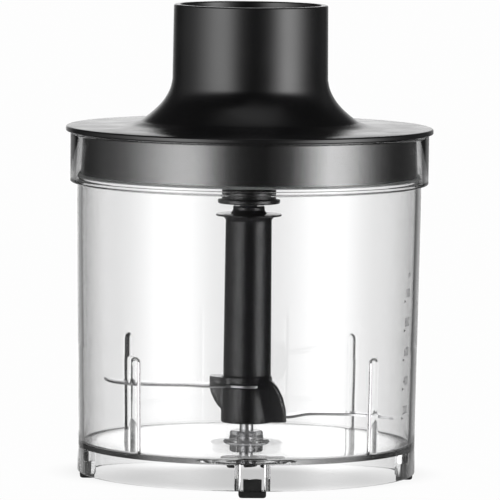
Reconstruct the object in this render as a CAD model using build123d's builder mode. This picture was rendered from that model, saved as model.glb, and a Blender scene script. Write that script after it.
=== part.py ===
from build123d import *
import math
import os

# ---------------------------------------------------------------------------
# Processor bowl attachment for a stick blender.
# Millimetres. +Z is up along the knife axis, z = 0 is the plane of the feet,
# -Y is the front, the four feet stand at -Y, +X, +Y and -X.
# ---------------------------------------------------------------------------

# overall heights
z_foot = -1.0            # underside of the rubber pads
z_skirt = 2.0            # lower edge of the bowl skirt, feet stand below it
z_floor_under = 13.0     # underside of the bowl floor
z_floor = 15.0           # upper face of the bowl floor
z_weld = 20.5            # plane between the two pieces of the bowl, above the centre boss
z_ledge = 130.0          # ledge inside the bowl mouth
z_band_top = 149.3       # bowl mouth
z_brim = 149.8           # underside of the lid brim
z_brim_top = 152.1
z_collar_top = 205.0

# bowl
wall = 2.5
r_low = 73.3             # outside radius at the skirt
r_mid = 74.2             # outside radius at mid height
r_high = 74.8            # outside radius under the shoulder
r_band = 77.9            # outside radius of the mouth band
band_wall = 2.4
r_band_in = r_band - band_wall
r_bowl_in = r_low - wall

# knife spindle
r_pin = 3.0
z_pin_bottom = 9.6
z_pin_top = 100.0
run_gap = 0.05           # radial running clearance of shafts and pins

# rubber feet
foot_width = 11.7
foot_plug_width = 7.7
foot_plug_depth = 3.4
foot_plug_top = 7.0
pocket_wall = 1.6

# ribs inside the bowl
rib_reach = 3.5
rib_width = 4.4
z_rib_top = 56.6
rib_angles = (46.3, 136.3, 226.3, 316.3)

# knife
z_hub_bottom = 23.4
z_hub_top = 44.3
r_hub = 11.2
r_hub_bore = 5.0
z_lower_blade = 25.4
z_upper_blade = 39.3
blade_thick = 1.2
r_blade_root = 11.3       # ring of the upper blade in the hub, just proud of the drum
r_lower_root = 10.4       # ring of the lower blade, inside the drum
r_lock = 8.3              # lock holes that the hub moulding runs through
d_lock = 3.0
r_stem_low = 10.4
r_stem_high = 10.0
z_stem_top = 113.0
r_splash = 14.3
hex_drive = 6.4          # across flats, driver on the stem
hex_socket = 7.0         # across flats, socket in the carrier
z_drive_top = 131.0

# lid
r_rim = 73.3
rim_wall = 2.3
z_rim_bottom = 131.6
z_plate = 134.0
plate = 2.4
r_boss = 11.7
z_boss = 126.2
r_brim = 79.65
r_collar = 33.55
r_collar_in = 30.5
z_collar_floor = 166.0
z_collar_seat = 177.8     # seat for the nose of the motor handle, just above the coupling
r_collar_seat = 28.3
r_out_bore = 8.2         # bore of the centre boss for the output bush

# gear train: module 1, 25 degree pressure angle
module = 1.0
pressure = math.radians(25)
n_sun = 12
n_planet = 18
n_ring = 48
addendum = 0.9 * module
dedendum = 1.2 * module
thinning = 0.10          # tooth thinning at the pitch circle, for backlash
r_orbit = module * (n_sun + n_planet) / 2
z_gear = 141.4
gear_face = 8.0
r_ring_out = 28.0
planet_angles = [90, 210, 330]
post_angles = [30, 150, 270]
r_out_shaft = 6.5
r_in_shaft = 2.97

os.makedirs("parts", exist_ok=True)


def involute(a):
    return math.tan(a) - a


def gear_outline(teeth, r_tip, r_root, thicken, phase_deg, flank_steps=4):
    """Closed list of (x, y) points of an involute gear outline.

    One tooth is centred on phase_deg. thicken is added to the tooth's arc
    at the pitch circle."""
    r_pitch = module * teeth / 2
    r_base = r_pitch * math.cos(pressure)
    half = math.pi / (2 * teeth) + thicken / (2 * r_pitch)
    r_start = max(r_base, r_root)
    radii = [r_start + (r_tip - r_start) * i / flank_steps for i in range(flank_steps + 1)]

    def half_angle(r):
        a = math.acos(min(1.0, r_base / r))
        return half + involute(pressure) - involute(a)

    pts = []
    for k in range(teeth):
        centre = math.radians(phase_deg) + 2 * math.pi * k / teeth
        rising = [(r, centre - half_angle(r)) for r in radii]
        falling = [(r, centre + half_angle(r)) for r in reversed(radii)]
        if r_root < r_base - 1e-6:
            rising.insert(0, (r_root, centre - half_angle(r_base)))
            falling.append((r_root, centre + half_angle(r_base)))
        for r, a in rising + falling:
            pts.append((r * math.cos(a), r * math.sin(a)))
    return pts


def on_worktop(piece):
    """The piece lifted from its working heights so that the pads' undersides
    lie at height zero."""
    return piece.moved(Location((0, 0, -z_foot)))


# ---------------------------------------------------------------------------
# bowl body
# ---------------------------------------------------------------------------

# The bowl: wall, shoulder and mouth band, floor, skirt, centre boss turned
# as one section, then ribs and foot pockets. It is kept as two welded pieces,
# the wall from z_weld up and the floor with the skirt below it.
with BuildPart() as bowl_moulding:
    with BuildSketch(Plane.XZ):
        with BuildLine():
            Polyline(
                (r_pin, 9.0),
                (5.6, 9.0),
                (5.6, z_floor_under),
                (8.6, z_floor_under),
                (12.6, 8.6),
                (14.8, 8.6),
                (14.8, 10.6),
                (13.2, z_floor_under),
                (r_bowl_in, z_floor_under),
                (r_bowl_in, z_skirt),
                (r_low - 0.9, z_skirt),
                (r_low, z_skirt + 0.9),
                (r_low, 16.0),
                (r_low + 0.2, 33.0),
                (r_mid, 77.0),
                (r_high, 120.0),
                (r_high, 126.9),
                (r_high + 0.3, 127.4),
                (r_band - 0.9, 128.6),
                (r_band - 0.2, 129.2),
                (r_band, 130.0),
                (r_band, z_band_top - 0.5),
                (r_band - 0.5, z_band_top),
                (r_band_in + 0.5, z_band_top),
                (r_band_in, z_band_top - 0.5),
                (r_band_in, z_ledge + 0.4),
                (r_band_in - 0.4, z_ledge),
                (r_high - wall + 0.5, z_ledge),
                (r_high - wall, z_ledge - 0.5),
                (r_high - wall, 120.0),
                (r_mid - wall, 77.0),
                (r_bowl_in + 0.2, 33.0),
                (r_bowl_in, 18.0),
                (r_bowl_in - 0.9, 15.9),
                (r_bowl_in - 3.0, z_floor),
                (7.6, z_floor),
                (7.6, 16.2),
                (6.5, 16.2),
                (6.5, 19.3),
                (6.0, 19.8),
                (r_pin, 19.8),
                close=True,
            )
        make_face()
    revolve(axis=Axis.Z)

    # four upright ribs between the feet, round at the top
    for angle in rib_angles:
        rib_plane = Plane(
            origin=(0, 0, z_floor - 0.5),
            x_dir=(math.cos(math.radians(angle)), math.sin(math.radians(angle)), 0),
            z_dir=(0, 0, 1),
        )
        with BuildSketch(rib_plane):
            with Locations((r_bowl_in - rib_reach / 2 + 0.45, 0)):
                Rectangle(rib_reach + 0.9, rib_width)
        extrude(amount=z_rib_top - rib_width / 2 - z_floor + 0.5)
    for angle in rib_angles:
        head_plane = Plane(
            origin=(
                (r_bowl_in - rib_reach) * math.cos(math.radians(angle)),
                (r_bowl_in - rib_reach) * math.sin(math.radians(angle)),
                z_rib_top - rib_width / 2,
            ),
            x_dir=(-math.sin(math.radians(angle)), math.cos(math.radians(angle)), 0),
            z_dir=(math.cos(math.radians(angle)), math.sin(math.radians(angle)), 0),
        )
        with BuildSketch(head_plane):
            Circle(rib_width / 2)
        extrude(amount=rib_reach + 0.9)

    # foot pockets inside the skirt: a three-sided clear box at each foot
    for angle in (0, 90, 180, 270):
        pocket_plane = Plane(
            origin=(0, 0, z_skirt),
            x_dir=(math.cos(math.radians(angle)), math.sin(math.radians(angle)), 0),
            z_dir=(0, 0, 1),
        )
        with BuildSketch(pocket_plane):
            with Locations((r_bowl_in - 2.75, 0)):
                Rectangle(5.9, foot_plug_width + 2 * pocket_wall + 1.1)
            with Locations((67.2 + foot_plug_depth / 2, 0)):
                Rectangle(foot_plug_depth, foot_plug_width, mode=Mode.SUBTRACT)
        extrude(amount=z_floor_under - z_skirt + 0.3)

with BuildPart() as bowl:
    add(bowl_moulding.part)
    split(bisect_by=Plane.XY.offset(z_weld), keep=Keep.TOP)
bowl.part.label = "bowl"
export_step(on_worktop(bowl.part), "parts/bowl.step")

with BuildPart() as bowl_floor:
    add(bowl_moulding.part)
    split(bisect_by=Plane.XY.offset(z_weld), keep=Keep.BOTTOM)
bowl_floor.part.label = "bowl_floor"
export_step(on_worktop(bowl_floor.part), "parts/bowl_floor.step")

# steel pin moulded into the floor boss
with BuildPart() as spindle_pin:
    with BuildSketch(Plane.XY.offset(z_pin_bottom)):
        Circle(r_pin)
    extrude(amount=z_pin_top - z_pin_bottom)
    chamfer(spindle_pin.faces().sort_by(Axis.Z)[-1].edges(), 0.8)
spindle_pin.part.label = "spindle_pin"
export_step(on_worktop(spindle_pin.part), "parts/spindle_pin.step")


# rubber feet: a plug in the pocket and a wider pad under the skirt
def foot_frame(angle, z):
    return Plane(
        origin=(0, 0, z),
        x_dir=(math.cos(math.radians(angle)), math.sin(math.radians(angle)), 0),
        z_dir=(0, 0, 1),
    )


def foot_part(angle):
    with BuildPart() as foot:
        with BuildSketch(foot_frame(angle, z_foot)):
            with Locations((69.0, 0)):
                RectangleRounded(6.6, foot_width, 1.6)
        extrude(amount=z_skirt - z_foot)
        fillet(foot.faces().sort_by(Axis.Z)[0].edges(), 1.1)
        with BuildSketch(foot_frame(angle, z_skirt)):
            with Locations((67.2 + foot_plug_depth / 2, 0)):
                Rectangle(foot_plug_depth - 0.06, foot_plug_width - 0.06)
        extrude(amount=foot_plug_top - z_skirt)
        chamfer(foot.faces().sort_by(Axis.Z)[-1].edges(), 0.6)
    return foot.part


foot_front = foot_part(270)
foot_front.label = "foot_front"
export_step(on_worktop(foot_front), "parts/foot_front.step")
foot_right = foot_part(0)
foot_right.label = "foot_right"
export_step(on_worktop(foot_right), "parts/foot_right.step")
foot_back = foot_part(90)
foot_back.label = "foot_back"
export_step(on_worktop(foot_back), "parts/foot_back.step")
foot_left = foot_part(180)
foot_left.label = "foot_left"
export_step(on_worktop(foot_left), "parts/foot_left.step")

# ---------------------------------------------------------------------------
# knife body
# ---------------------------------------------------------------------------


# One blade in plan: the lead edge is nearly straight, then hooks back to a
# point. turn = 0 lays it along +X with its tip swept towards -Y.
def blade_outline():
    lead = [
        (0.0, 8.5), (10.0, 8.6), (20.0, 8.6), (30.0, 8.3), (40.0, 7.5), (48.0, 5.6),
        (53.8, 2.2), (58.0, -3.2), (60.7, -10.0), (62.3, -18.2),
    ]
    trail = [
        (57.0, -13.6), (52.0, -8.8), (46.0, -5.9), (38.0, -4.6), (28.0, -4.3), (16.0, -5.2), (8.0, -6.6), (0.0, -7.6),
    ]
    return lead, trail


blade_lead, blade_trail = blade_outline()


# A blade: a thin plate with a washer-shaped root around the hub bore.
with BuildPart() as lower_blade:
    with BuildSketch(Plane.XY.offset(z_lower_blade)):
        with BuildLine():
            Spline(*blade_lead)
            Spline(blade_lead[-1], *blade_trail)
            Line(blade_trail[-1], blade_lead[0])
        make_face()
        Circle(r_lower_root)
        Circle(r_hub_bore + 0.6, mode=Mode.SUBTRACT)
        with PolarLocations(r_lock, 4, start_angle=45):
            Circle(d_lock / 2, mode=Mode.SUBTRACT)
    extrude(amount=blade_thick)
lower_blade.part.label = "lower_blade"
export_step(on_worktop(lower_blade.part), "parts/lower_blade.step")

upper_points_lead = [(-x, -y) for x, y in blade_lead]
upper_points_trail = [(-x, -y) for x, y in blade_trail]
with BuildPart() as upper_blade:
    with BuildSketch(Plane.XY.offset(z_upper_blade)):
        with BuildLine():
            Spline(*upper_points_lead)
            Spline(upper_points_lead[-1], *upper_points_trail)
            Line(upper_points_trail[-1], upper_points_lead[0])
        make_face()
        Circle(r_blade_root)
        Circle(r_hub_bore + 0.6, mode=Mode.SUBTRACT)
        with PolarLocations(r_lock, 4, start_angle=45):
            Circle(d_lock / 2, mode=Mode.SUBTRACT)
    extrude(amount=blade_thick)
upper_blade.part.label = "upper_blade"
export_step(on_worktop(upper_blade.part), "parts/upper_blade.step")

# The hub: a drum with two swept carriers. The right-hand carrier bulges out
# towards the lower blade, the left-hand one is a shelf over the upper blade
# with a curved web under it.
with BuildPart() as blade_hub:
    with BuildSketch(Plane.XY.offset(z_hub_bottom)):
        Circle(r_hub)
    extrude(amount=z_hub_top - 1.1 - z_hub_bottom)
    with BuildSketch(Plane.XY.offset(z_hub_top - 1.1)):
        Circle(r_hub - 0.5)
    extrude(amount=1.1)
    # right-hand carrier
    with BuildSketch(Plane.XZ.offset(-9.6)):
        with BuildLine():
            Spline(
                (10.2, 43.2), (13.4, 39.6), (15.7, 34.8), (16.7, 29.6), (17.2, 23.9),
                tangents=((1, -0.45), (0.05, -1)),
            )
            Polyline((17.2, 23.9), (7.0, 23.9), (7.0, 43.2), (10.2, 43.2))
        make_face()
    extrude(amount=13.6)
    # left-hand carrier, web below the upper blade
    with BuildSketch(Plane.XZ.offset(-2.2)):
        with BuildLine():
            Spline(
                (-16.0, z_upper_blade + 0.2), (-15.4, 36.4), (-13.6, 32.6), (-10.8, 29.0),
                tangents=((0.03, -1), (0.8, -0.6)),
            )
            Polyline((-10.8, 29.0), (-7.0, 29.0), (-7.0, z_upper_blade + 0.2), (-16.0, z_upper_blade + 0.2))
        make_face()
    extrude(amount=11.4)
    # left-hand carrier, shelf above the upper blade
    with BuildSketch(Plane.XY.offset(z_upper_blade)):
        with BuildLine():
            Polyline((-2.0, -10.9), (-6.0, -10.4), (-10.5, -9.6), (-14.2, -7.6), (-16.0, -4.6),
                     (-16.4, -1.0), (-15.6, 2.2), (-12.6, 4.6), (-9.0, 6.2), (-2.0, 6.6), close=True)
        make_face()
    extrude(amount=z_hub_top - 0.2 - z_upper_blade)
    # centre bore, the stem spigot seat and the seats of the blades
    with BuildSketch(Plane.XY.offset(z_hub_bottom - 1)):
        Circle(r_hub_bore)
    extrude(amount=z_hub_top - z_hub_bottom + 2, mode=Mode.SUBTRACT)
    with BuildSketch(Plane.XY.offset(z_upper_blade + blade_thick)):
        Circle(8.0)
    extrude(amount=10, mode=Mode.SUBTRACT)
    with BuildSketch(Plane.XY.offset(z_lower_blade)):
        with BuildLine():
            Spline(*blade_lead)
            Spline(blade_lead[-1], *blade_trail)
            Line(blade_trail[-1], blade_lead[0])
        make_face()
        Circle(r_lower_root)
        Circle(r_hub_bore + 0.6, mode=Mode.SUBTRACT)
        with PolarLocations(r_lock, 4, start_angle=45):
            Circle(d_lock / 2, mode=Mode.SUBTRACT)
    extrude(amount=blade_thick, mode=Mode.SUBTRACT)
    with BuildSketch(Plane.XY.offset(z_upper_blade)):
        with BuildLine():
            Spline(*upper_points_lead)
            Spline(upper_points_lead[-1], *upper_points_trail)
            Line(upper_points_trail[-1], upper_points_lead[0])
        make_face()
        Circle(r_blade_root)
        Circle(r_hub_bore + 0.6, mode=Mode.SUBTRACT)
        with PolarLocations(r_lock, 4, start_angle=45):
            Circle(d_lock / 2, mode=Mode.SUBTRACT)
    extrude(amount=blade_thick, mode=Mode.SUBTRACT)
blade_hub.part.label = "blade_hub"
export_step(on_worktop(blade_hub.part), "parts/blade_hub.step")

# The stem: a long tube with a spigot in the hub, a splash flange and a neck.
with BuildPart() as blade_stem:
    with BuildSketch(Plane.XZ):
        with BuildLine():
            Polyline(
                (r_hub_bore, z_upper_blade + blade_thick),
                (7.95, z_upper_blade + blade_thick),
                (7.95, z_hub_top),
                (r_stem_low, z_hub_top),
                (r_stem_high, z_stem_top - 0.8),
                (r_stem_high + 0.8, z_stem_top),
                (r_splash - 0.3, z_stem_top),
                (r_splash, z_stem_top + 0.3),
                (r_splash, z_stem_top + 1.0),
                (r_splash - 0.3, z_stem_top + 1.3),
                (7.5, z_stem_top + 1.3),
                (6.7, z_stem_top + 2.0),
                (6.9, z_stem_top + 3.0),
                (8.2, z_stem_top + 4.3),
                (8.2, z_stem_top + 4.8),
                (3.2, z_stem_top + 4.8),
                (3.2, 104.0),
                (r_hub_bore, 104.0),
                close=True,
            )
        make_face()
    revolve(axis=Axis.Z)
    # hexagonal seat of the driver
    with BuildSketch(Plane.XY.offset(106.0)):
        RegularPolygon(hex_drive / 2, 6, major_radius=False)
    extrude(amount=20, mode=Mode.SUBTRACT)
blade_stem.part.label = "blade_stem"
export_step(on_worktop(blade_stem.part), "parts/blade_stem.step")

# steel hexagonal driver at the top of the stem
with BuildPart() as drive_head:
    with BuildSketch(Plane.XY.offset(106.0)):
        RegularPolygon(hex_drive / 2, 6, major_radius=False)
    extrude(amount=z_drive_top - 106.0)
    chamfer(drive_head.faces().sort_by(Axis.Z)[-1].edges(), 0.7)
drive_head.part.label = "drive_head"
export_step(on_worktop(drive_head.part), "parts/drive_head.step")

# bearing bushes of the knife on its pin
with BuildPart() as stem_bush_lower:
    with BuildSketch(Plane.XY.offset(z_hub_bottom + 0.8)):
        Circle(r_hub_bore - 0.02)
        Circle(r_pin + run_gap, mode=Mode.SUBTRACT)
    extrude(amount=12.0)
stem_bush_lower.part.label = "stem_bush_lower"
export_step(on_worktop(stem_bush_lower.part), "parts/stem_bush_lower.step")

with BuildPart() as stem_bush_upper:
    with BuildSketch(Plane.XY.offset(86.0)):
        Circle(r_hub_bore - 0.02)
        Circle(r_pin + run_gap, mode=Mode.SUBTRACT)
    extrude(amount=12.0)
stem_bush_upper.part.label = "stem_bush_upper"
export_step(on_worktop(stem_bush_upper.part), "parts/stem_bush_upper.step")

# ---------------------------------------------------------------------------
# lid body
# ---------------------------------------------------------------------------

# The lid moulding: brim, concave flare, straight collar with an inner floor.
# It is kept as two welded pieces, the cover with its flare below the inner
# floor and the collar with the floor above it.
with BuildPart() as lid_moulding:
    with BuildSketch(Plane.XZ):
        with BuildLine():
            Polyline(
                (71.0 - 2.6, z_brim),
                (71.0 - 2.6, z_brim - 4.0),
                (71.0 - 0.1, z_brim - 4.0),
                (71.0 - 0.1, z_brim),
                (r_brim - 0.6, z_brim),
                (r_brim, z_brim + 0.6),
                (r_brim, z_brim_top - 0.9),
                (r_brim - 0.7, z_brim_top - 0.2),
                (r_brim - 2.4, z_brim_top),
                (60.0, z_brim_top + 0.3),
            )
            Spline(
                (60.0, z_brim_top + 0.3), (53.0, 153.0), (48.6, 154.1), (46.2, 155.2), (42.0, 158.5),
                (38.4, 162.1), (36.0, 165.6), (34.5, 168.9), (33.7, 172.6),
                tangents=((-1, 0.02), (-0.06, 1)),
            )
            Polyline(
                (33.7, 172.6),
                (33.4, z_collar_top - 0.9),
                (33.1, z_collar_top - 0.3),
                (32.5, z_collar_top),
                (31.4, z_collar_top),
                (30.8, z_collar_top - 0.3),
                (r_collar_in, z_collar_top - 0.9),
                (r_collar_in, z_collar_seat),
                (r_collar_seat + 0.4, z_collar_seat),
                (r_collar_seat, z_collar_seat - 0.4),
                (r_collar_seat, z_collar_floor),
                (8.6, z_collar_floor),
                (8.6, z_collar_floor - 2.2),
                (32.9, z_collar_floor - 2.2),
            )
            Spline((32.9, z_collar_floor - 2.2), (34.95, 161.6), (38.1, 158.0), (42.3, 154.5), (47.3, 151.5), (53.6, z_brim))
            Line((53.6, z_brim), (71.0 - 2.6, z_brim))
        make_face()
    revolve(axis=Axis.Z)
    # screw bosses under the brim
    with BuildSketch(Plane.XY.offset(z_plate + plate)):
        with PolarLocations(60.0, 4, start_angle=45):
            Circle(3.8)
        with PolarLocations(60.0, 4, start_angle=45):
            Circle(1.65, mode=Mode.SUBTRACT)
    extrude(amount=z_brim + 0.3 - z_plate - plate)
    # latch pockets for the motor handle, inside the collar
    with BuildSketch(Plane.XY.offset(190.0)):
        with Locations((0, r_collar_in + 0.1), (0, -r_collar_in - 0.1)):
            Rectangle(11.0, 2.4)
    extrude(amount=4.5, mode=Mode.SUBTRACT)

with BuildPart() as lid_shell:
    add(lid_moulding.part)
    split(bisect_by=Plane.XY.offset(z_collar_floor - 2.2), keep=Keep.BOTTOM)
lid_shell.part.label = "lid_shell"
export_step(on_worktop(lid_shell.part), "parts/lid_shell.step")

with BuildPart() as lid_collar:
    add(lid_moulding.part)
    split(bisect_by=Plane.XY.offset(z_collar_floor - 2.2), keep=Keep.TOP)
lid_collar.part.label = "lid_collar"
export_step(on_worktop(lid_collar.part), "parts/lid_collar.step")

# The lid base: rim ring, under plate, centre boss and gear case.
with BuildPart() as lid_base:
    with BuildSketch(Plane.XZ):
        with BuildLine():
            Polyline(
                (r_out_bore, z_plate + plate),
                (r_out_bore, z_boss + 3.0),
                (9.43, z_boss + 3.0),
                (9.43, z_boss),
                (r_boss, z_boss),
                (r_boss, z_plate),
                (r_rim - rim_wall, z_plate),
                (r_rim - rim_wall, z_rim_bottom),
                (r_rim - 0.4, z_rim_bottom),
                (r_rim, z_rim_bottom + 0.4),
                (r_rim, z_brim),
                (r_rim - rim_wall, z_brim),
                (r_rim - rim_wall, z_plate + plate),
                (31.0, z_plate + plate),
                (31.0, 155.0),
                (r_ring_out + 0.03, 155.0),
                (r_ring_out + 0.03, 140.9),
                (26.3, 140.9),
                (26.3, z_plate + plate),
                close=True,
            )
        make_face()
    revolve(axis=Axis.Z)
    # screw lugs of the gear case
    with BuildSketch(Plane.XY.offset(z_plate + plate)):
        with PolarLocations(33.0, 3, start_angle=30):
            Circle(3.6)
        Circle(r_ring_out + 1.2, mode=Mode.SUBTRACT)
    extrude(amount=155.0 - z_plate - plate)
    with BuildSketch(Plane.XY.offset(155.0 - 10.0)):
        with PolarLocations(33.0, 3, start_angle=30):
            Circle(1.35)
    extrude(amount=10.0, mode=Mode.SUBTRACT)
    # clearance holes of the lid screws
    with BuildSketch(Plane.XY.offset(z_plate)):
        with PolarLocations(60.0, 4, start_angle=45):
            Circle(1.8)
    extrude(amount=plate, mode=Mode.SUBTRACT)
    # two locating lugs on the rim
    for angle in (0, 180):
        with BuildSketch(foot_frame(angle, 142.6)):
            with Locations((r_rim + 0.2, 0)):
                Rectangle(2.0, 9.0)
        extrude(amount=3.2)
lid_base.part.label = "lid_base"
export_step(on_worktop(lid_base.part), "parts/lid_base.step")

# soft ring under the rim, bears on the ledge of the bowl
with BuildPart() as lid_seal:
    with BuildSketch(Plane.XZ):
        with BuildLine():
            Polyline(
                (71.4, z_rim_bottom), (71.4, z_ledge + 0.9), (72.9, z_ledge + 0.4), (74.6, z_ledge + 0.4),
                (74.6, z_ledge + 0.9), (73.2, z_rim_bottom),
                close=True,
            )
        make_face()
    revolve(axis=Axis.Z)
lid_seal.part.label = "lid_seal"
export_step(on_worktop(lid_seal.part), "parts/lid_seal.step")

# flanged ring that closes the centre boss from below
with BuildPart() as boss_ring:
    with BuildSketch(Plane.XZ):
        with BuildLine():
            Polyline(
                (r_out_bore, 118.9),
                (13.2, 118.9),
                (13.5, 119.2),
                (13.5, 120.6),
                (13.2, 121.0),
                (11.8, 121.0),
                (11.8, 124.1),
                (11.5, 124.4),
                (10.1, 124.4),
                (10.1, z_boss),
                (9.4, z_boss),
                (9.4, z_boss + 2.9),
                (r_out_bore, z_boss + 2.9),
                close=True,
            )
        make_face()
    revolve(axis=Axis.Z)
boss_ring.part.label = "boss_ring"
export_step(on_worktop(boss_ring.part), "parts/boss_ring.step")

# output bush, flanged, in the boss
with BuildPart() as output_bush:
    with BuildSketch(Plane.XZ):
        with BuildLine():
            Polyline(
                (r_out_shaft + run_gap, 120.5),
                (r_out_bore - 0.03, 120.5),
                (r_out_bore - 0.03, z_plate + plate),
                (11.0, z_plate + plate),
                (11.0, z_plate + plate + 1.0),
                (r_out_shaft + run_gap, z_plate + plate + 1.0),
                close=True,
            )
        make_face()
    revolve(axis=Axis.Z)
output_bush.part.label = "output_bush"
export_step(on_worktop(output_bush.part), "parts/output_bush.step")

# lip seal of the output shaft, below the bush
with BuildPart() as output_seal:
    with BuildSketch(Plane.XY.offset(119.0)):
        Circle(r_out_bore - 0.03)
        Circle(r_out_shaft + 0.08, mode=Mode.SUBTRACT)
    extrude(amount=1.4)
output_seal.part.label = "output_seal"
export_step(on_worktop(output_seal.part), "parts/output_seal.step")

# fixed internal gear
with BuildPart() as ring_gear:
    with BuildSketch(Plane.XY.offset(140.9)):
        Circle(r_ring_out)
    extrude(amount=9.1)
    with BuildSketch(Plane.XY.offset(140.4)):
        with BuildLine():
            Polyline(
                *gear_outline(n_ring, 24 + dedendum, 24 - addendum, thinning, 90 + 180 / n_ring, flank_steps=3),
                close=True,
            )
        make_face()
    extrude(amount=10.2, mode=Mode.SUBTRACT)
ring_gear.part.label = "ring_gear"
export_step(on_worktop(ring_gear.part), "parts/ring_gear.step")

# cover of the gear case with the input bearing hub
with BuildPart() as gearbox_cover:
    with BuildSketch(Plane.XY.offset(155.0)):
        Circle(31.0)
        with PolarLocations(33.0, 3, start_angle=30):
            Circle(3.6)
    extrude(amount=2.2)
    with BuildSketch(Plane.XY.offset(150.0)):
        Circle(27.9)
        Circle(26.3, mode=Mode.SUBTRACT)
    extrude(amount=5.0)
    with BuildSketch(Plane.XY.offset(157.2)):
        Circle(7.5)
    extrude(amount=5.8)
    with BuildSketch(Plane.XY.offset(149.0)):
        Circle(5.0)
    extrude(amount=20.0, mode=Mode.SUBTRACT)
    with BuildSketch(Plane.XY.offset(154.0)):
        with PolarLocations(33.0, 3, start_angle=30):
            Circle(1.6)
    extrude(amount=5.0, mode=Mode.SUBTRACT)
gearbox_cover.part.label = "gearbox_cover"
export_step(on_worktop(gearbox_cover.part), "parts/gearbox_cover.step")

# input bush in the cover
with BuildPart() as input_bush:
    with BuildSketch(Plane.XY.offset(155.2)):
        Circle(4.97)
        Circle(r_in_shaft + run_gap, mode=Mode.SUBTRACT)
    extrude(amount=7.6)
input_bush.part.label = "input_bush"
export_step(on_worktop(input_bush.part), "parts/input_bush.step")

# lip seal of the input shaft, pressed in the collar floor
with BuildPart() as input_seal:
    with BuildSketch(Plane.XZ):
        with BuildLine():
            Polyline(
                (r_in_shaft + 0.08, 163.2), (8.55, 163.2), (8.55, 165.6), (6.0, 165.6), (4.6, 164.6), (r_in_shaft + 0.08, 165.4),
                close=True,
            )
        make_face()
    revolve(axis=Axis.Z)
input_seal.part.label = "input_seal"
export_step(on_worktop(input_seal.part), "parts/input_seal.step")

# three screws of the gearbox cover
with BuildPart() as gearbox_screws:
    with BuildSketch(Plane.XY.offset(147.0)):
        with PolarLocations(33.0, 3, start_angle=30):
            Circle(1.33)
    extrude(amount=10.2)
    with BuildSketch(Plane.XY.offset(157.2)):
        with PolarLocations(33.0, 3, start_angle=30):
            Circle(2.6)
    extrude(amount=1.6)
    with BuildSketch(Plane.XY.offset(158.0)):
        with PolarLocations(33.0, 3, start_angle=30):
            Rectangle(2.6, 0.7)
        with PolarLocations(33.0, 3, start_angle=30):
            Rectangle(0.7, 2.6)
    extrude(amount=1.0, mode=Mode.SUBTRACT)
gearbox_screws.part.label = "gearbox_screws"
export_step(on_worktop(gearbox_screws.part), "parts/gearbox_screws.step")

# four screws that hold the base to the shell, from below
with BuildPart() as lid_screws:
    with BuildSketch(Plane.XY.offset(z_plate)):
        with PolarLocations(60.0, 4, start_angle=45):
            Circle(1.62)
    extrude(amount=10.5)
    with BuildSketch(Plane.XY.offset(z_plate - 1.8)):
        with PolarLocations(60.0, 4, start_angle=45):
            Circle(3.2)
    extrude(amount=1.8)
    with BuildSketch(Plane.XY.offset(z_plate - 1.8)):
        with PolarLocations(60.0, 4, start_angle=45):
            Rectangle(3.2, 0.8)
        with PolarLocations(60.0, 4, start_angle=45):
            Rectangle(0.8, 3.2)
    extrude(amount=1.0, mode=Mode.SUBTRACT)
lid_screws.part.label = "lid_screws"
export_step(on_worktop(lid_screws.part), "parts/lid_screws.step")

# ---------------------------------------------------------------------------
# input body
# ---------------------------------------------------------------------------

with BuildPart() as input_shaft:
    with BuildSketch(Plane.XY.offset(141.4)):
        Circle(r_in_shaft)
    extrude(amount=171.5 - 141.4)
    with BuildSketch(Plane.XY.offset(152.6)):
        Circle(4.6)
    extrude(amount=2.0)
    chamfer(input_shaft.faces().sort_by(Axis.Z)[-1].edges(), 0.5)
input_shaft.part.label = "input_shaft"
export_step(on_worktop(input_shaft.part), "parts/input_shaft.step")

with BuildPart() as sun_gear:
    with BuildSketch(Plane.XY.offset(z_gear)):
        with BuildLine():
            Polyline(*gear_outline(n_sun, 6 + addendum, 6 - dedendum, -thinning, 90), close=True)
        make_face()
        Circle(r_in_shaft + 0.01, mode=Mode.SUBTRACT)
    extrude(amount=gear_face)
sun_gear.part.label = "sun_gear"
export_step(on_worktop(sun_gear.part), "parts/sun_gear.step")

# spring clip on the input shaft, above the seal
with BuildPart() as input_clip:
    with BuildSketch(Plane.XY.offset(166.0)):
        Circle(5.0)
        Circle(r_in_shaft + 0.01, mode=Mode.SUBTRACT)
        with Locations((4.0, 0)):
            Rectangle(4.0, 1.8, mode=Mode.SUBTRACT)
    extrude(amount=0.8)
input_clip.part.label = "input_clip"
export_step(on_worktop(input_clip.part), "parts/input_clip.step")

# six-lobed male coupling that the motor handle's socket drives
with BuildPart() as input_coupling:
    with BuildSketch(Plane.XY.offset(167.0)):
        Circle(7.4)
    extrude(amount=1.6)
    with BuildSketch(Plane.XY.offset(168.6)):
        Circle(4.9)
        with PolarLocations(4.7, 6):
            Circle(1.6)
    extrude(amount=8.0)
    chamfer(input_coupling.faces().sort_by(Axis.Z)[-1].edges(), 0.5)
    with BuildSketch(Plane.XY.offset(166.9)):
        Circle(r_in_shaft + 0.01)
    extrude(amount=4.7, mode=Mode.SUBTRACT)
input_coupling.part.label = "input_coupling"
export_step(on_worktop(input_coupling.part), "parts/input_coupling.step")

# ---------------------------------------------------------------------------
# carrier body
# ---------------------------------------------------------------------------

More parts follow.
